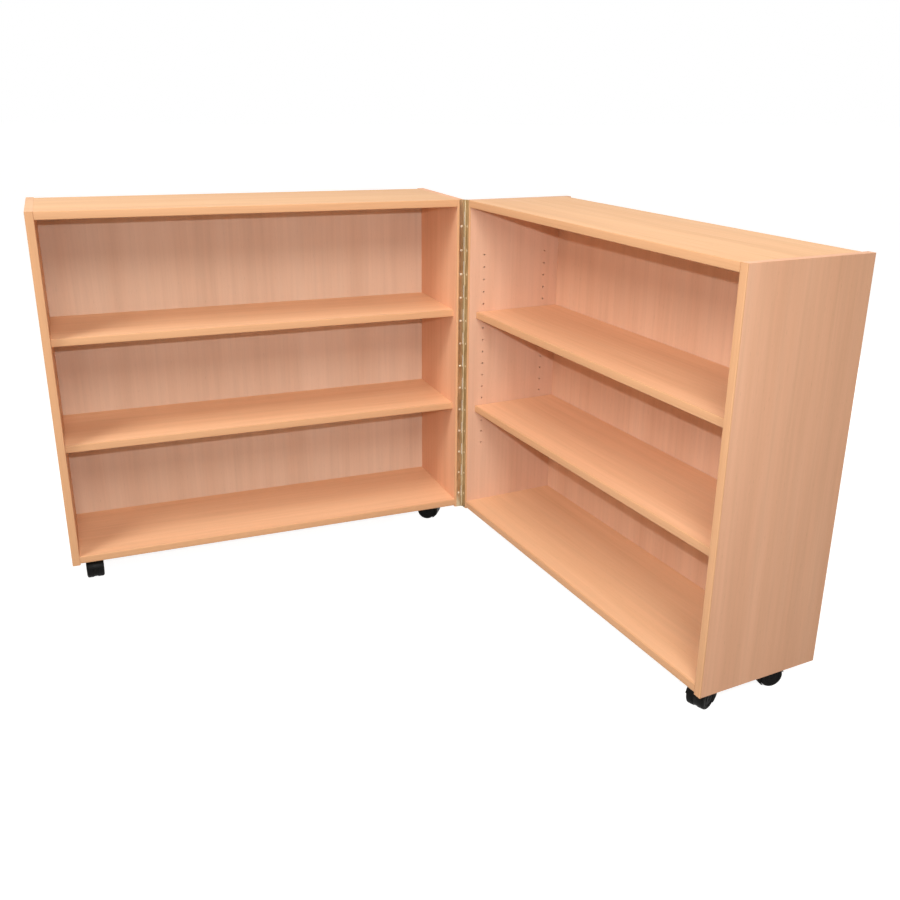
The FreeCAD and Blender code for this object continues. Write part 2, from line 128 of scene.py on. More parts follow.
# %% A material and its coordinates
def new_material(name, colour, roughness, metallic=0.0):
    """A material with its own Principled shader, whose plain values are set on the shader."""
    material = bpy.data.materials.new(name)
    material.use_nodes = True
    shader = material.node_tree.nodes["Principled BSDF"]
    shader.inputs["Base Color"].default_value = (*colour, 1)
    shader.inputs["Roughness"].default_value = roughness
    shader.inputs["Metallic"].default_value = metallic
    return material, shader


def place_in_case(material, case):
    """Object coordinates turned into the case's frame."""
    nodes, links = material.node_tree.nodes, material.node_tree.links
    where = nodes.new("ShaderNodeTexCoord")
    turned = nodes.new("ShaderNodeMapping")
    turned.vector_type = "TEXTURE"
    turned.inputs["Location"].default_value = pin_foot
    turned.inputs["Rotation"].default_value = (0, 0, swing if case == "right" else 0)
    links.new(where.outputs["Object"], turned.inputs["Vector"])
    return turned.outputs["Vector"]


print("the right case's pattern turns by", round(math.degrees(swing), 1), "degrees")

# %% [markdown]
# A noise that is stretched far along one axis reads as grain. A colour ramp makes a tone or a
# gloss of it, one tone multiplied by another lays a fine layer over a broad one, and a bump
# lets the finest layer catch the light.

# %% Layers of grain
def noise(material, source, scale, detail=2.0, roughness=0.5, shift=(0, 0, 0)):
    """Noise with its own scale along each axis. Its mean is 0.5."""
    nodes, links = material.node_tree.nodes, material.node_tree.links
    stretch = nodes.new("ShaderNodeMapping")
    stretch.inputs["Scale"].default_value = scale
    stretch.inputs["Location"].default_value = shift
    cloud = nodes.new("ShaderNodeTexNoise")
    cloud.inputs["Scale"].default_value = 1
    cloud.inputs["Detail"].default_value = detail
    cloud.inputs["Roughness"].default_value = roughness
    links.new(source, stretch.inputs["Vector"])
    links.new(stretch.outputs["Vector"], cloud.inputs["Vector"])
    return cloud.outputs["Fac"]


def ramp(material, source, stops):
    """A colour ramp. Each stop is a position and a colour, or a grey as one number."""
    nodes, links = material.node_tree.nodes, material.node_tree.links
    band = nodes.new("ShaderNodeValToRGB")
    elements = band.color_ramp.elements
    while len(elements) < len(stops):
        elements.new(0.5)
    for element, (position, colour) in zip(elements, stops):
        element.position = position
        element.color = (*colour, 1) if hasattr(colour, "__len__") else (*[colour] * 3, 1)
    links.new(source, band.inputs["Fac"])
    return band.outputs["Color"]


def multiply(material, first, second):
    nodes, links = material.node_tree.nodes, material.node_tree.links
    mix = nodes.new("ShaderNodeMix")
    mix.data_type = "RGBA"
    mix.blend_type = "MULTIPLY"
    mix.inputs["Factor"].default_value = 1
    links.new(first, mix.inputs["A"])
    links.new(second, mix.inputs["B"])
    return mix.outputs["Result"]


def drive(material, shader, colour, height, depth, rough=None):
    """Connect finished layers to the shader. depth is the bump's height in metres."""
    nodes, links = material.node_tree.nodes, material.node_tree.links
    links.new(colour, shader.inputs["Base Color"])
    if rough is not None:
        links.new(rough, shader.inputs["Roughness"])
    bump = nodes.new("ShaderNodeBump")
    bump.inputs["Distance"].default_value = depth
    bump.inputs["Strength"].default_value = 1
    links.new(height, bump.inputs["Height"])
    links.new(bump.outputs["Normal"], shader.inputs["Normal"])


print("noise, ramp, multiply and drive are ready")

# %% [markdown]
# Beech laminate is printed with an even, straight grain. Four noises make it: bands about
# 70 mm wide, ribbons of 16 mm, streaks of 5 mm, and the short dark flecks that mark beech, a
# millimetre wide. The streaks also vary the gloss a little, as the pressed surface does.

# %% Beech laminate
BEECH_PALE = (0.805, 0.490, 0.290)
BEECH_MID = (0.775, 0.458, 0.265)
BEECH_DEEP = (0.735, 0.420, 0.238)
LAMINATE_GLOSS = 0.13
GRAIN_DEPTH = 0.03 * MM


def toned(colour, tone_and_painted_light):
    return tuple(part * share for part, share in zip(colour, tone_and_painted_light))


def beech(name, case, grain, tone_and_painted_light=(1, 1, 1), shift=0.0):
    """Pale beech whose grain runs along one axis of the case: 0 for x, 1 for y, 2 for z. For some
    boards the tone also carries painted light.
    """
    pale, mid, deep = (toned(colour, tone_and_painted_light) for colour in (BEECH_PALE, BEECH_MID, BEECH_DEEP))
    material, shader = new_material(name, mid, 0.5)
    shader.inputs["Specular IOR Level"].default_value = LAMINATE_GLOSS
    source = place_in_case(material, case)
    sheet = (shift, 2 * shift, 3 * shift)

    def along(across, run):
        return [run if axis == grain else across for axis in range(3)]

    bands = noise(material, source, along(14, 0.9), 3, 0.55, sheet)
    colour = ramp(material, bands, ((0.30, deep), (0.50, mid), (0.68, pale)))
    ribbons = noise(material, source, along(62, 2.2), 2, 0.5, sheet)
    colour = multiply(material, colour, ramp(material, ribbons, ((0.34, 0.955), (0.60, 1.0))))
    streaks = noise(material, source, along(190, 5), 4, 0.6, sheet)
    colour = multiply(material, colour, ramp(material, streaks, ((0.32, 0.965), (0.58, 1.0))))
    flecks = noise(material, source, along(800, 58), 1, 0.4, sheet)
    colour = multiply(material, colour, ramp(material, flecks, ((0.20, 0.84), (0.32, 1.0))))
    gloss = ramp(material, streaks, ((0.30, 0.54), (0.70, 0.44)))
    drive(material, shader, colour, height=streaks, depth=GRAIN_DEPTH, rough=gloss)
    return material


print("beech laminate is ready")

# %% [markdown]
# The boards are cut from different sheets, so each has its own print and its own tone. The tones
# were matched to how bright each board shows, so besides real differences between sheets they
# carry painted light: the backs are thinner sheet, and their greyer, bluer tone is partly their
# own colour and partly painted sheen, and the right case's outer side is lifted for light it
# doesn't get. A tone is a share of red, green and blue.

# %% A finish for each board
ACROSS, UPRIGHT = 0, 2
BOARDS = (("hinge_side", UPRIGHT), ("outer_side", UPRIGHT), ("top", ACROSS), ("bottom", ACROSS),
          ("back", UPRIGHT), ("upper_shelf", ACROSS), ("lower_shelf", ACROSS))
SHEET_SHIFT = 0.37
BOARD_TONES_AND_PAINTED_LIGHT = {
    ("left", "hinge_side"): (1.070, 1.000, 1.060),
    ("left", "top"): (0.980, 0.975, 0.900),
    ("left", "bottom"): (1.060, 1.060, 1.080),
    # painted sheen: the left back's greyer, bluer tone stands in for light reflected off it
    ("left", "back"): (0.930, 1.120, 1.420),
    ("left", "upper_shelf"): (1.090, 1.100, 1.120),
    ("left", "lower_shelf"): (1.070, 1.070, 1.080),
    ("right", "hinge_side"): (0.970, 1.030, 1.240),
    # painted light: this end panel's tone is raised to make up for light it doesn't get
    ("right", "outer_side"): (1.010, 0.960, 1.050),
    ("right", "top"): (1.000, 0.985, 0.910),
    # painted sheen: the right back's greyer, bluer tone stands in for light reflected off it
    ("right", "back"): (1.015, 1.070, 1.260),
    ("right", "upper_shelf"): (1.030, 0.990, 1.000),
    ("right", "lower_shelf"): (1.030, 0.990, 1.000),
}
finishes = {}
for case in CASE:
    for board, grain in BOARDS:
        finishes[case, board] = beech(
            f"{case}_{board}_beech", case, grain, BOARD_TONES_AND_PAINTED_LIGHT.get((case, board), (1, 1, 1)),
            shift=SHEET_SHIFT * len(finishes))
print(len(finishes), "board finishes")

# %% [markdown]
# The edging is a solid strip glued on the front edges. Its lines are longer and calmer than
# the print of the boards, and its tone is deeper.

# %% Edging finish
EDGING_PALE = (0.675, 0.375, 0.200)
EDGING_DEEP = (0.630, 0.345, 0.180)


def edging(name, case, grain):
    material, shader = new_material(name, BEECH_MID, 0.45)
    shader.inputs["Specular IOR Level"].default_value = LAMINATE_GLOSS
    source = place_in_case(material, case)
    scale = [5 if axis == grain else 260 for axis in range(3)]
    lines = noise(material, source, scale, detail=4, roughness=0.6)
    colour = ramp(material, lines, ((0.30, EDGING_DEEP), (0.55, EDGING_PALE)))
    drive(material, shader, colour, height=lines, depth=GRAIN_DEPTH)
    return material


edges = {(case, grain): edging(f"{case}_edging_{word}", case, grain)
         for case in CASE for grain, word in ((ACROSS, "level"), (UPRIGHT, "upright"))}
print(len(edges), "edgings")

# %% [markdown]
# The hinge is brassed strip, bright enough to mirror the beech beside it. A noise drawn out
# along the strip stands for the rolling marks, and a slow noise clouds the metal where hands
# and air have dulled it. The screws are nickelled, and the hidden fittings are plain or zinc.

# %% Metals
def metal(name, case, bright, dull, roughness, run=(900, 900, 14)):
    """A metal with marks of its making, which lie along the axis with the lowest run."""
    material, shader = new_material(name, bright, roughness, metallic=1.0)
    source = place_in_case(material, case)
    cloud = noise(material, source, (60, 60, 26), detail=3)
    marks = noise(material, source, run, detail=3, roughness=0.6)
    colour = ramp(material, cloud, ((0.34, dull), (0.64, bright)))
    gloss = ramp(material, marks, ((0.3, roughness * 1.4), (0.7, roughness * 0.8)))
    drive(material, shader, colour, height=marks, depth=0.02 * MM, rough=gloss)
    return material


leaf_brass_and_painted_shade = {
    "left": metal("left_brass", "left", (0.780, 0.580, 0.310), (0.600, 0.420, 0.210), 0.16),
    # painted shade: the right leaf is the same brass as the left, made darker and duller for the
    # shade on it
    "right": metal("right_brass", "right", (0.520, 0.380, 0.225), (0.400, 0.280, 0.155), 0.20),
}
knuckle_brass = metal("knuckle_brass", "left",
                      (0.560, 0.440, 0.280), (0.420, 0.310, 0.180), 0.30)
screw_nickel = metal("screw_nickel", "left",
                     (0.920, 0.860, 0.740), (0.800, 0.720, 0.580), 0.30)
steel = metal("plain_steel", "left", (0.600, 0.600, 0.610), (0.430, 0.430, 0.440), 0.34)
zinc = metal("zinc_steel", "left", (0.640, 0.650, 0.660), (0.500, 0.500, 0.480), 0.30,
             run=(300, 300, 300))
print("brass, nickel, steel and zinc")

# %% [markdown]
# Castors are moulded nylon, nearly black. The hood keeps the fine texture of its mould, and
# the wheels are scuffed dull on the tread, so each has its own grain and roughness. The
# dowels are plain beech, darker than the print.

# %% Nylon and dowel wood
NYLON_GLOSS = 0.07


def nylon(name, colour, dusty, roughness, grain):
    material, shader = new_material(name, colour, roughness)
    shader.inputs["Specular IOR Level"].default_value = NYLON_GLOSS
    source = place_in_case(material, "left")
    cloud = noise(material, source, (45, 45, 45), detail=4, roughness=0.6)
    pores = noise(material, source, (grain, grain, grain), detail=2)
    shade = ramp(material, cloud, ((0.35, colour), (0.75, dusty)))
    gloss = ramp(material, cloud, ((0.3, roughness - 0.06), (0.7, roughness + 0.12)))
    drive(material, shader, shade, height=pores, depth=0.03 * MM, rough=gloss)
    return material


hood_nylon = nylon("hood_nylon", (0.005, 0.0047, 0.004), (0.009, 0.0083, 0.007), 0.40, 1500)
wheel_nylon = nylon("wheel_nylon", (0.005, 0.005, 0.005), (0.010, 0.0095, 0.009), 0.50, 900)
dowel_wood = beech("dowel_wood", "left", ACROSS, tone_and_painted_light=(0.730, 0.830, 0.810))
print("nylon and dowel wood")

# %% [markdown]
# ## Making pieces
# A piece is shaped in its case's frame, then its mesh is carried to its place, so that the
# object itself stays at the origin. It rides on a body, takes over the solids that it stands
# for and names the finish that it uses.

# %% Blocks, bevels and pieces
def block(low, high):
    """A closed box between two corners, as a bmesh."""
    bm = bmesh.new()
    bmesh.ops.create_cube(bm, size=1)
    bmesh.ops.scale(bm, vec=high - low, verts=bm.verts)
    bmesh.ops.translate(bm, vec=(low + high) / 2, verts=bm.verts)
    return bm


def round_edges(bm, edges, width, segments):
    bmesh.ops.bevel(bm, geom=edges, offset=width, offset_type="OFFSET", affect="EDGES",
                    segments=segments, profile=0.5, material=-1, clamp_overlap=True)


def piece(name, bm, place, body, material, nodes=(), smooth=None):
    """Carry a bmesh to its place and make it a piece. smooth is an angle in degrees."""
    bmesh.ops.transform(bm, matrix=place, verts=bm.verts)
    mesh = bpy.data.meshes.new(name)
    bm.to_mesh(mesh)
    bm.free()
    if smooth is not None:
        mesh.shade_smooth()
        mesh.set_sharp_from_angle(angle=math.radians(smooth))
    for finish in material if isinstance(material, list) else [material]:
        mesh.materials.append(finish)
    thing = bpy.data.objects.new(name, mesh)
    scene.collection.objects.link(thing)
    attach(thing, body)
    if nodes:
        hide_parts(*nodes)
    return thing


print("blocks, bevels and pieces are ready")

# %% [markdown]
# ## Boards
# Each board is a sawn panel, so its edges are crisp: a bevel of under half a millimetre is
# enough to catch a thin line of light and to show where two boards meet. The right case's
# shelves are loose and ride on bodies of their own.

# %% Boards of both cases
BOARD_EDGE = 0.35 * MM


def body_of_board(case, board):
    loose = case == "right" and board.endswith("shelf")
    return f"{case}_{board}" if loose else f"{case}_case"


boards = {}
for case, board in finishes:
    node = f"{case}_{board}"
    bm = block(*case_box(node, case))
    round_edges(bm, bm.edges[:], BOARD_EDGE, segments=1)
    boards[case, board] = piece(f"{node}_board", bm, CASE[case], body_of_board(case, board),
                                finishes[case, board], [node])
print(len(boards), "boards")

# %% [markdown]
# A hole or a slot is made by a Boolean, which takes one mesh out of another and closes the
# faces between them. The result is stored in the piece's mesh and the cutter is removed, so
# no live modifier is left behind.

# %% A cut
def cut(thing, cutter_bm):
    """Cut a bmesh out of a piece whose mesh is in its final place."""
    mesh = bpy.data.meshes.new("cutter")
    cutter_bm.to_mesh(mesh)
    cutter_bm.free()
    cutter = bpy.data.objects.new("cutter", mesh)
    scene.collection.objects.link(cutter)
    carve = thing.modifiers.new("carve", "BOOLEAN")
    carve.operation = "DIFFERENCE"
    carve.solver = "EXACT"
    carve.object = cutter
    bpy.context.view_layer.update()
    shown = thing.evaluated_get(bpy.context.evaluated_depsgraph_get())
    carved = bpy.data.meshes.new_from_object(shown)
    thing.modifiers.remove(carve)
    thing.data = carved
    bpy.data.objects.remove(cutter)
    bpy.data.meshes.remove(mesh)


print("a cut is ready")

# %% [markdown]
# The right case's sides are drilled with two rows of shelf holes at 32 mm. A drill with many
# sides is repeated down the rows and taken out of the panel in one cut.

# %% Shelf holes
HOLE_TOP, HOLE_PITCH, HOLE_COUNT = 702 * MM, 32 * MM, 17
HOLE_RADIUS, HOLE_DEPTH = 2.5 * MM, 12 * MM
HOLE_ROWS = (44 * MM, 224 * MM)


def drills(face_x, inward, front, bottom):
    """A drill for every shelf hole, reaching from just outside the face into the board."""
    bm = bmesh.new()
    for row in HOLE_ROWS:
        for index in range(HOLE_COUNT):
            middle = Vector((face_x - inward * HOLE_DEPTH / 2 + inward * MM / 2,
                             front + row, bottom + HOLE_TOP - index * HOLE_PITCH))
            bmesh.ops.create_cone(
                bm, cap_ends=True, segments=16, radius1=HOLE_RADIUS, radius2=HOLE_RADIUS,
                depth=HOLE_DEPTH + MM,
                matrix=Matrix.Translation(middle) @ Matrix.Rotation(math.pi / 2, 4, "Y"))
    return bm


strip_low = case_box("right_lippings", "right")[0]
for board, inward in (("hinge_side", 1), ("outer_side", -1)):
    low, high = case_box(f"right_{board}", "right")
    holes = drills(high.x if inward > 0 else low.x, inward, strip_low.y, low.z)
    bmesh.ops.transform(holes, matrix=CASE["right"], verts=holes.verts)
    cut(boards["right", board], holes)
    print(board, "has", len(boards["right", board].data.polygons), "faces after drilling")

# %% [markdown]
# ## Edging
# A 3 mm strip covers every front edge. Its two long front corners are rounded over with a
# small radius, and those rounds give the bright line along each shelf. The strips of one case
# that run the same way make one piece.

# %% Front edging
LIPPING = 3 * MM
LIPPING_ROUND = 1.6 * MM
LONG_EDGE = 100 * MM


def add(bm, other, place=None):
    """Add the faces of another bmesh to this one, moved if a place is given."""
    if place is not None:
        bmesh.ops.transform(other, matrix=place, verts=other.verts)
    spare = bpy.data.meshes.new("spare")
    other.to_mesh(spare)
    other.free()
    bm.from_mesh(spare)
    bpy.data.meshes.remove(spare)


def lipping(case, board, grain):
    """The strip on one board's front edge, with its two long front corners rounded."""
    low, high = case_box(f"{case}_{board}", case)
    bm = block(Vector((low.x, low.y - LIPPING, low.z)), Vector((high.x, low.y, high.z)))
    front = [edge for edge in bm.edges
             if all(vert.co.y < low.y - LIPPING / 2 for vert in edge.verts)
             and abs(edge.verts[0].co[grain] - edge.verts[1].co[grain]) > LONG_EDGE]
    round_edges(bm, front, LIPPING_ROUND, segments=5)
    return bm


for case in CASE:
    level = ["top", "bottom"] + (["upper_shelf", "lower_shelf"] if case == "left" else [])
    for word, grain, names in (("upright", UPRIGHT, ["hinge_side", "outer_side"]),
                               ("level", ACROSS, level)):
        strips = bmesh.new()
        for board in names:
            add(strips, lipping(case, board, grain))
        piece(f"{case}_{word}_edging", strips, CASE[case], f"{case}_case", edges[case, grain],
              [f"{case}_lippings"], smooth=40)
for shelf in ("upper_shelf", "lower_shelf"):
    piece(f"right_{shelf}_edging", lipping("right", shelf, ACROSS), CASE["right"],
          f"right_{shelf}", edges["right", ACROSS],
          [f"right_{shelf}_lipping"], smooth=40)
print("edging on both cases and on the two loose shelves")

# %% [markdown]
# ## Piano hinge
# A leaf is a flat strip whose edge is rolled round the pin and then cut into knuckles, every
# second one from the other leaf. A knuckle is a small rectangle spun round the pin, and a
# short tab joins it to its strip. The knuckles rub, so they get a duller finish of their own.

# %% Hinge leaves
HAND = {"left": -1, "right": 1}
FIRST_KNUCKLE = {"left": 0, "right": 1}
KNUCKLES = 27
KNUCKLE_RADIUS, PIN_BORE = 2.4 * MM, 1.42 * MM
KNUCKLE_GAP = 0.3 * MM
LEAF_NEAR, LEAF_FAR = 2.7 * MM, 15.7 * MM
LEAF_FRONT, LEAF_BACK = 0.7 * MM, 1.7 * MM
LEAF_EDGE = 0.12 * MM
TAB_NEAR, TAB_FAR = 1.6 * MM, LEAF_NEAR + 0.2 * MM
TURNING_STEPS = 20
hinge_bottom, hinge_top = (corner.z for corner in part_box("hinge_pin"))
knuckle_pitch = (hinge_top - hinge_bottom) / KNUCKLES


def knuckle(bottom, top):
    """A short tube round the pin: a rectangle beside the axis, spun a full turn."""
    bm = bmesh.new()
    corners = [bm.verts.new((radius, 0, height)) for radius, height in (
        (PIN_BORE, bottom), (KNUCKLE_RADIUS, bottom), (KNUCKLE_RADIUS, top), (PIN_BORE, top))]
    rim = [bm.edges.new((corners[i], corners[(i + 1) % 4])) for i in range(4)]
    bmesh.ops.spin(bm, geom=corners + rim, cent=(0, 0, 0), axis=(0, 0, 1),
                   angle=2 * math.pi, steps=TURNING_STEPS, use_merge=True)
    bmesh.ops.recalc_face_normals(bm, faces=bm.faces)
    return bm


def strip(hand, near, far, bottom, top):
    """A block as thick as the leaf, from one distance beside the pin to another."""
    left, right = sorted((hand * near, hand * far))
    return block(Vector((left, LEAF_FRONT, bottom)), Vector((right, LEAF_BACK, top)))


for case, hand in HAND.items():
    leaf = strip(hand, LEAF_NEAR, LEAF_FAR, hinge_bottom, hinge_top)
    round_edges(leaf, leaf.edges[:], LEAF_EDGE, segments=1)
    flat_faces = len(leaf.faces)
    own = range(FIRST_KNUCKLE[case], KNUCKLES, 2)
    for index in own:
        bottom = hinge_bottom + index * knuckle_pitch + (KNUCKLE_GAP / 2 if index else 0)
        top = hinge_bottom + (index + 1) * knuckle_pitch
        top -= KNUCKLE_GAP / 2 if index < KNUCKLES - 1 else 0
        add(leaf, knuckle(bottom, top))
        add(leaf, strip(hand, TAB_NEAR, TAB_FAR, bottom, top))
    for face in leaf.faces[flat_faces:]:
        face.material_index = 1
    piece(f"{case}_leaf", leaf, CASE[case], f"{case}_case", [leaf_brass_and_painted_shade[case], knuckle_brass],
          [f"{case}_hinge_leaf"], smooth=35)
    print(case, "leaf has", len(own), "knuckles")

# %% [markdown]
# The screws have low domed heads with a cross recess. One head is turned from half its
# outline and gets its cross cut.

# %% A screw head
HEAD_RADIUS, HEAD_HEIGHT = 3 * MM, 0.4 * MM
HEAD_OUTLINE = (  # share of the head's radius and of its height
    (0, 1.0), (0.45, 0.93), (0.8, 0.66), (1.0, 0.12), (1.0, -0.4), (0, -0.4))
RECESS_LENGTH, RECESS_WIDTH, RECESS_DEPTH = 2.6 * MM, 0.55 * MM, 0.3 * MM


def screw_head():
    """A dome on the z axis: a few points of its outline, spun a full turn."""
    bm = bmesh.new()
    outline = [bm.verts.new((radius * HEAD_RADIUS, 0, height * HEAD_HEIGHT))
               for radius, height in HEAD_OUTLINE]
    lines = [bm.edges.new(pair) for pair in zip(outline, outline[1:])]
    bmesh.ops.spin(bm, geom=outline + lines, cent=(0, 0, 0), axis=(0, 0, 1),
                   angle=2 * math.pi, steps=TURNING_STEPS, use_merge=True)
    bmesh.ops.remove_doubles(bm, verts=bm.verts, dist=1e-7)
    bmesh.ops.recalc_face_normals(bm, faces=bm.faces)
    return bm


head = piece("screw_pattern", screw_head(), Matrix(), "left_case", screw_nickel)
for across, along in ((RECESS_LENGTH, RECESS_WIDTH), (RECESS_WIDTH, RECESS_LENGTH)):
    reach = Vector((across / 2, along / 2, 0))
    cut(head, block(Vector((0, 0, HEAD_HEIGHT - RECESS_DEPTH)) - reach,
                    Vector((0, 0, 2 * HEAD_HEIGHT)) + reach))
print("screw head has", len(head.data.polygons), "faces")

# %% [markdown]
# A copy of the head is set down at every hole of both leaves. Screws stop at any angle when
# they are tight, so each cross is turned further than the one below it.

# %% Hinge screws
SCREWS, SCREW_FOOT, SCREW_HEADROOM = 13, 42 * MM, 66 * MM
SCREW_TURN = math.radians(37)
screw_pitch = (hinge_top - hinge_bottom - SCREW_FOOT - SCREW_HEADROOM) / (SCREWS - 1)
for case, hand in HAND.items():
    screws = bmesh.new()
    for index in range(SCREWS):
        one = bmesh.new()
        one.from_mesh(head.data)
        spot = Vector((hand * (LEAF_NEAR + LEAF_FAR) / 2, LEAF_FRONT,
                       hinge_bottom + SCREW_FOOT + index * screw_pitch))
        facing = Matrix.Rotation(math.pi / 2, 4, "X") @ Matrix.Rotation(SCREW_TURN * index, 4, "Z")
        add(screws, one, Matrix.Translation(spot) @ facing)
    piece(f"{case}_screws", screws, CASE[case], f"{case}_case", screw_nickel,
          [f"{case}_hinge_screws"], smooth=50)
bpy.data.objects.remove(head)
print(2 * SCREWS, "screw heads")

# %% [markdown]
# ## Castors
# A castor is drawn once in its own frame: x points to its nose, y lies along the axle and z
# is the height above the floor. Its swivel and its wheels' joint say where each one stands.

# %% Where each castor stands
def castor_place(name):
    """The castor's frame, from its swivel to its axle."""
    stem = Vector(joints[f"{name}_castor_swivel"]["pos_m"])
    axle = Vector(joints[f"{name}_wheels_roll"]["pos_m"])
    nose = (stem - axle).to_2d()
    place = Matrix.Rotation(math.atan2(nose.y, nose.x), 4, "Z")
    place.translation = (stem.x, stem.y, 0)
    return place


names = [body.removesuffix("_castor") for body in frame["bodies"] if body.endswith("_castor")]
castors = {name: castor_place(name) for name in names}
print(len(castors), "castors")

# %% [markdown]
# A wheel is turned from its outline: a domed face with a sunk ring, a round shoulder and a
# flat tread. The same outline is mirrored for the second wheel on the far side of the web.

# %% Wheels
WHEEL_RADIUS, WHEELS_WIDTH = 25 * MM, 40 * MM
TRAIL = 24 * MM
WHEEL_OUTLINE = (  # distance from the axle and distance in from the outer face, in mm
    (0, 1.6), (4.5, 1.6), (5.2, 0.9), (7.5, 0.5), (8.6, 0.5), (9.2, 1.5), (16.5, 1.7),
    (17.3, 0.7), (18.5, 0.1), (20.5, 0.0), (22.3, 0.45), (23.9, 1.6), (24.8, 3.2),
    (25.0, 4.6), (25.0, 14.6), (24.4, 15.5), (23.6, 15.7), (0, 15.7))


def wheel_pair():
    bm = bmesh.new()
    outline = [bm.verts.new((radius * MM, WHEELS_WIDTH / 2 - inset * MM, 0))
               for radius, inset in WHEEL_OUTLINE]
    lines = [bm.edges.new(pair) for pair in zip(outline, outline[1:])]
    bmesh.ops.spin(bm, geom=outline + lines, cent=(0, 0, 0), axis=(0, 1, 0),
                   angle=2 * math.pi, steps=48, use_merge=True)
    bmesh.ops.remove_doubles(bm, verts=bm.verts, dist=1e-7)
    bmesh.ops.mirror(bm, geom=bm.verts[:] + bm.edges[:] + bm.faces[:], matrix=Matrix(),
                     merge_dist=-1, axis="Y")
    bmesh.ops.recalc_face_normals(bm, faces=bm.faces)
    bmesh.ops.translate(bm, vec=(-TRAIL, 0, WHEEL_RADIUS), verts=bm.verts)
    return bm


for name, place in castors.items():
    piece(f"{name}_wheel_pair", wheel_pair(), place, f"{name}_wheels", wheel_nylon,
          [f"{name}_castor_wheels"], smooth=38)
print("wheel outline has", len(WHEEL_OUTLINE), "points")

# %% [markdown]
# The hood is one moulding: a web that fills the gap between the wheels almost to the floor, a
# thin fender over their tops and a nose that reaches down in front. Its side view is drawn
# first, with the fender's arc spun from one corner. It is thickened to the full width and its
# rims are rounded.

# %% The hood's outline, thickened
FENDER_INSIDE, FENDER_OUTSIDE = 25.6 * MM, 27 * MM
FENDER_SWEEP = math.radians(75)
FENDER_LAP = 0.05 * MM
HOOD_TOP = 52 * MM
BROW = (3.0, 52.0)
NOSE = ((8.0, 47.0), (8.0, 21.0), (6.0, 15.5), (-2.0, 7.5), (-9.0, 5.2))
WEB_FOOT = ((-16.0, 2.2), (-24.0, 1.5), (-32.0, 2.4), (-39.0, 6.4), (-44.0, 12.0), (-46.4, 17.5))
BROW_ROUND, RIM_ROUND = 2.4 * MM, 0.9 * MM


def hood_mesh():
    """The brow, nose and foot are corners in mm, ahead of the stem and off the floor."""
    bm = bmesh.new()
    axle = Vector((-TRAIL, 0, WHEEL_RADIUS))
    crown = bm.verts.new(axle + Vector((0, 0, FENDER_OUTSIDE)))
    swept = bmesh.ops.spin(bm, geom=[crown], cent=axle, axis=(0, -1, 0),
                           angle=FENDER_SWEEP, steps=16)
    tail = next(thing for thing in swept["geom_last"] if isinstance(thing, bmesh.types.BMVert))
    back = Vector((-math.sin(FENDER_SWEEP), 0, math.cos(FENDER_SWEEP)))
    tip = bm.verts.new(axle + back * (FENDER_INSIDE - FENDER_LAP))
    front = [bm.verts.new((ahead * MM, 0, height * MM))
             for ahead, height in (BROW, *NOSE, *WEB_FOOT)]
    for pair in zip([crown] + front + [tip], front + [tip, tail]):
        bm.edges.new(pair)
    bmesh.ops.contextual_create(bm, geom=bm.edges[:])
    bmesh.ops.bevel(bm, geom=front[:2], offset=BROW_ROUND, offset_type="OFFSET",
                    affect="VERTICES", segments=4, profile=0.5, material=-1)
    made = bmesh.ops.extrude_face_region(bm, geom=bm.faces[:])
    moved = [thing for thing in made["geom"] if isinstance(thing, bmesh.types.BMVert)]
    bmesh.ops.translate(bm, vec=(0, WHEELS_WIDTH, 0), verts=moved)
    bmesh.ops.translate(bm, vec=(0, -WHEELS_WIDTH / 2, 0), verts=bm.verts)
    bmesh.ops.recalc_face_normals(bm, faces=bm.faces)
    rims = [edge for edge in bm.edges
            if abs(edge.verts[0].co.y - edge.verts[1].co.y) < 1e-6
            and edge.calc_face_angle(0) > 1]
    round_edges(bm, rims, RIM_ROUND, segments=3)
    return bm


pattern = piece("hood_pattern", hood_mesh(), Matrix(), "left_case", hood_nylon)
print("solid hood has", len(pattern.data.polygons), "faces")

# %% [markdown]
# The room for the two wheels is then cut from both sides, which leaves the web in the middle.
# A low round boss on top carries the stem, and every castor gets a copy of both.

# %% Hoods
WEB = 8 * MM
BOSS_RADIUS, BOSS_HEIGHT, BOSS_ROUND = 9 * MM, 2.5 * MM, 0.6 * MM


def wheel_room():
    bm = bmesh.new()
    depth = (WHEELS_WIDTH - WEB) / 2 + MM
    for side in (-1, 1):
        middle = Vector((-TRAIL, side * (WEB / 2 + depth / 2), WHEEL_RADIUS))
        bmesh.ops.create_cone(
            bm, cap_ends=True, segments=64, radius1=FENDER_INSIDE, radius2=FENDER_INSIDE,
            depth=depth,
            matrix=Matrix.Translation(middle) @ Matrix.Rotation(math.pi / 2, 4, "X"))
    return bm


def boss_mesh():
    bm = bmesh.new()
    middle = HOOD_TOP + BOSS_HEIGHT / 2
    bmesh.ops.create_cone(bm, cap_ends=True, segments=32, radius1=BOSS_RADIUS,
                          radius2=BOSS_RADIUS, depth=BOSS_HEIGHT,
                          matrix=Matrix.Translation((0, 0, middle)))
    upper = [edge for edge in bm.edges if all(vert.co.z > middle for vert in edge.verts)]
    round_edges(bm, upper, BOSS_ROUND, segments=3)
    return bm


cut(pattern, wheel_room())
for name, place in castors.items():
    hood = bmesh.new()
    hood.from_mesh(pattern.data)
    add(hood, boss_mesh())
    piece(f"{name}_hood", hood, place, f"{name}_castor", hood_nylon,
          [f"{name}_castor_hood"], smooth=32)
print("hood has", len(pattern.data.polygons), "faces")
bpy.data.objects.remove(pattern)

# %% [markdown]
# ## Small fittings
# Dowels, stems, axles, the hinge pin and the shelf supports have the right shape already, so
# they keep their measured meshes and only get their finishes. Each solid is matched by the
# end of its name, and the solids behind the new pieces get the same finishes as those pieces.

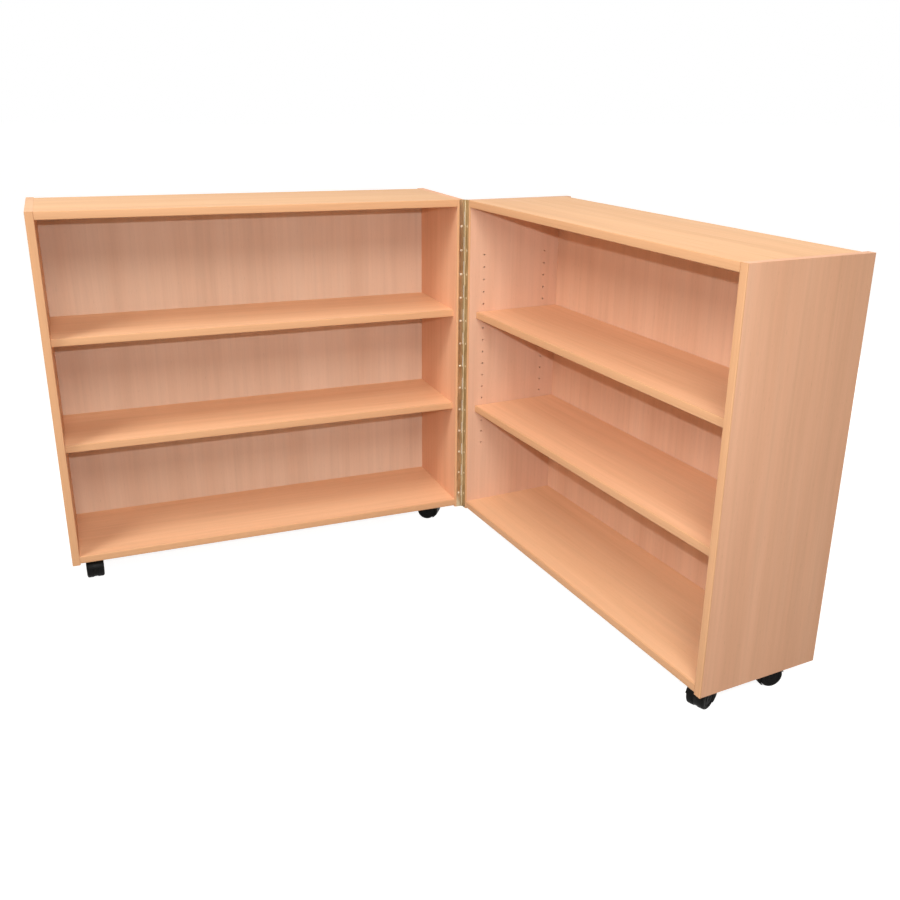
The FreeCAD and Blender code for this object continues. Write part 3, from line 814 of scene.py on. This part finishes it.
# %% Finishes on the measured fittings
plain = {"dowels": dowel_wood, "castor_stems": zinc, "castor_axle": steel, "hinge_pin": steel,
         "shelf_supports": zinc, "hinge_screws": screw_nickel, "_hood": hood_nylon,
         "_wheels": wheel_nylon}
for case in CASE:
    plain[f"{case}_hinge_leaf"] = leaf_brass_and_painted_shade[case]
    plain[f"{case}_lippings"] = edges[case, UPRIGHT]
    for board, grain in BOARDS:
        plain[f"{case}_{board}"] = finishes[case, board]
        plain[f"{case}_{board}_lipping"] = edges[case, ACROSS]
for node, solid in frame["nodes"].items():
    solid.data.materials.clear()
    solid.data.materials.append(
        next(finish for end, finish in plain.items() if node.endswith(end)))
print(len(frame["nodes"]), "solids dressed")

# %% [markdown]
# ## Room and light
# The world looks white to the camera and in reflections. For all other rays it gives a low,
# warm fill, like light thrown back by a room.

# %% World
WORLD_FILL = (0.260, 0.212, 0.160)


def light_path(tree):
    """One where the camera looks, or where a reflection or a clear surface does."""
    nodes, links = tree.nodes, tree.links
    path = nodes.new("ShaderNodeLightPath")
    seen = path.outputs["Is Camera Ray"]
    for other in ("Is Glossy Ray", "Is Transmission Ray"):
        most = nodes.new("ShaderNodeMath")
        most.operation = "MAXIMUM"
        links.new(seen, most.inputs[0])
        links.new(path.outputs[other], most.inputs[1])
        seen = most.outputs[0]
    return seen


world = bpy.data.worlds.new("studio")
world.use_nodes = True
scene.world = world
tree = world.node_tree
fill = tree.nodes.new("ShaderNodeMix")
fill.data_type = "RGBA"
fill.inputs["A"].default_value = (*WORLD_FILL, 1)
fill.inputs["B"].default_value = (1, 1, 1, 1)
tree.links.new(light_path(tree), fill.inputs["Factor"])
tree.links.new(fill.outputs["Result"], tree.nodes["Background"].inputs["Color"])
print("world fill", WORLD_FILL)

# %% [markdown]
# The floor is a dull grey that takes the shadows, and a glow on top of it lifts it to white
# where it is seen. The glow reaches only the camera, reflections and clear surfaces, so it
# throws no light on the bookcase.

# %% Floor
FLOOR_GREY, FLOOR_GLOW = 0.35, 0.91
floor_bm = bmesh.new()
bmesh.ops.create_grid(floor_bm, x_segments=1, y_segments=1, size=30)
floor_mesh = bpy.data.meshes.new("floor")
floor_bm.to_mesh(floor_mesh)
floor_bm.free()
floor = bpy.data.objects.new("floor", floor_mesh)
scene.collection.objects.link(floor)
floor_material, shader = new_material("floor_white", [FLOOR_GREY] * 3, 0.9)
shader.inputs["Specular IOR Level"].default_value = 0.1
tree = floor_material.node_tree
glow = tree.nodes.new("ShaderNodeEmission")
glow_strength = tree.nodes.new("ShaderNodeMapRange")
glow_strength.inputs["To Min"].default_value = 0.0
glow_strength.inputs["To Max"].default_value = FLOOR_GLOW
tree.links.new(light_path(tree), glow_strength.inputs["Value"])
tree.links.new(glow_strength.outputs["Result"], glow.inputs["Strength"])
both = tree.nodes.new("ShaderNodeAddShader")
tree.links.new(shader.outputs["BSDF"], both.inputs[0])
tree.links.new(glow.outputs["Emission"], both.inputs[1])
tree.links.new(both.outputs["Shader"], tree.nodes["Material Output"].inputs["Surface"])
floor_mesh.materials.append(floor_material)
print("floor", [round(v) for v in floor.dimensions.xy], "m")

# %% [markdown]
# Three wide softboxes hang over the front, the left and the middle, so the tops are the
# brightest faces. A smaller one stands behind, lower than the tops: it lights the outer faces
# of the backs and can't glare on the tops. One small lamp stands beside the camera: its rays
# reach into the bays and leave a narrow crisp shadow under the top and each shelf.

# %% Lamps
SOFTBOX_TINT = (1, 0.985, 0.94)


def hang(name, data, place, target):
    """Put a lamp in the scene and point it at a spot."""
    lamp = bpy.data.objects.new(name, data)
    lamp.location = place
    away = Vector(target) - lamp.location
    lamp.rotation_euler = away.to_track_quat("-Z", "Y").to_euler()
    scene.collection.objects.link(lamp)


def softbox(name, place, power, size=1.3):
    data = bpy.data.lights.new(name, "AREA")
    data.shape = "DISK"
    data.size = size
    data.energy = power
    data.color = SOFTBOX_TINT
    hang(name, data, place, (0, 0, 0.5))


softbox("front_softbox", (-0.6, -3.0, 3.0), 66)
softbox("left_softbox", (-2.2, -0.8, 2.8), 61)
softbox("top_softbox", (0, 0, 3.2), 20)
softbox("back_softbox", (2.3, 2.0, 0.45), 40, size=0.8)
crisp = bpy.data.lights.new("crisp_lamp", "SPOT")
crisp.energy = 78
crisp.color = (0.97, 1, 1.07)
crisp.shadow_soft_size = 0.015
crisp.spot_size = math.radians(76)
crisp.spot_blend = 1
hang("crisp_lamp", crisp, (-0.611, -1.845, 1.248), (-0.02, -0.1, 0.46))
scene.view_settings.view_transform = "Standard"
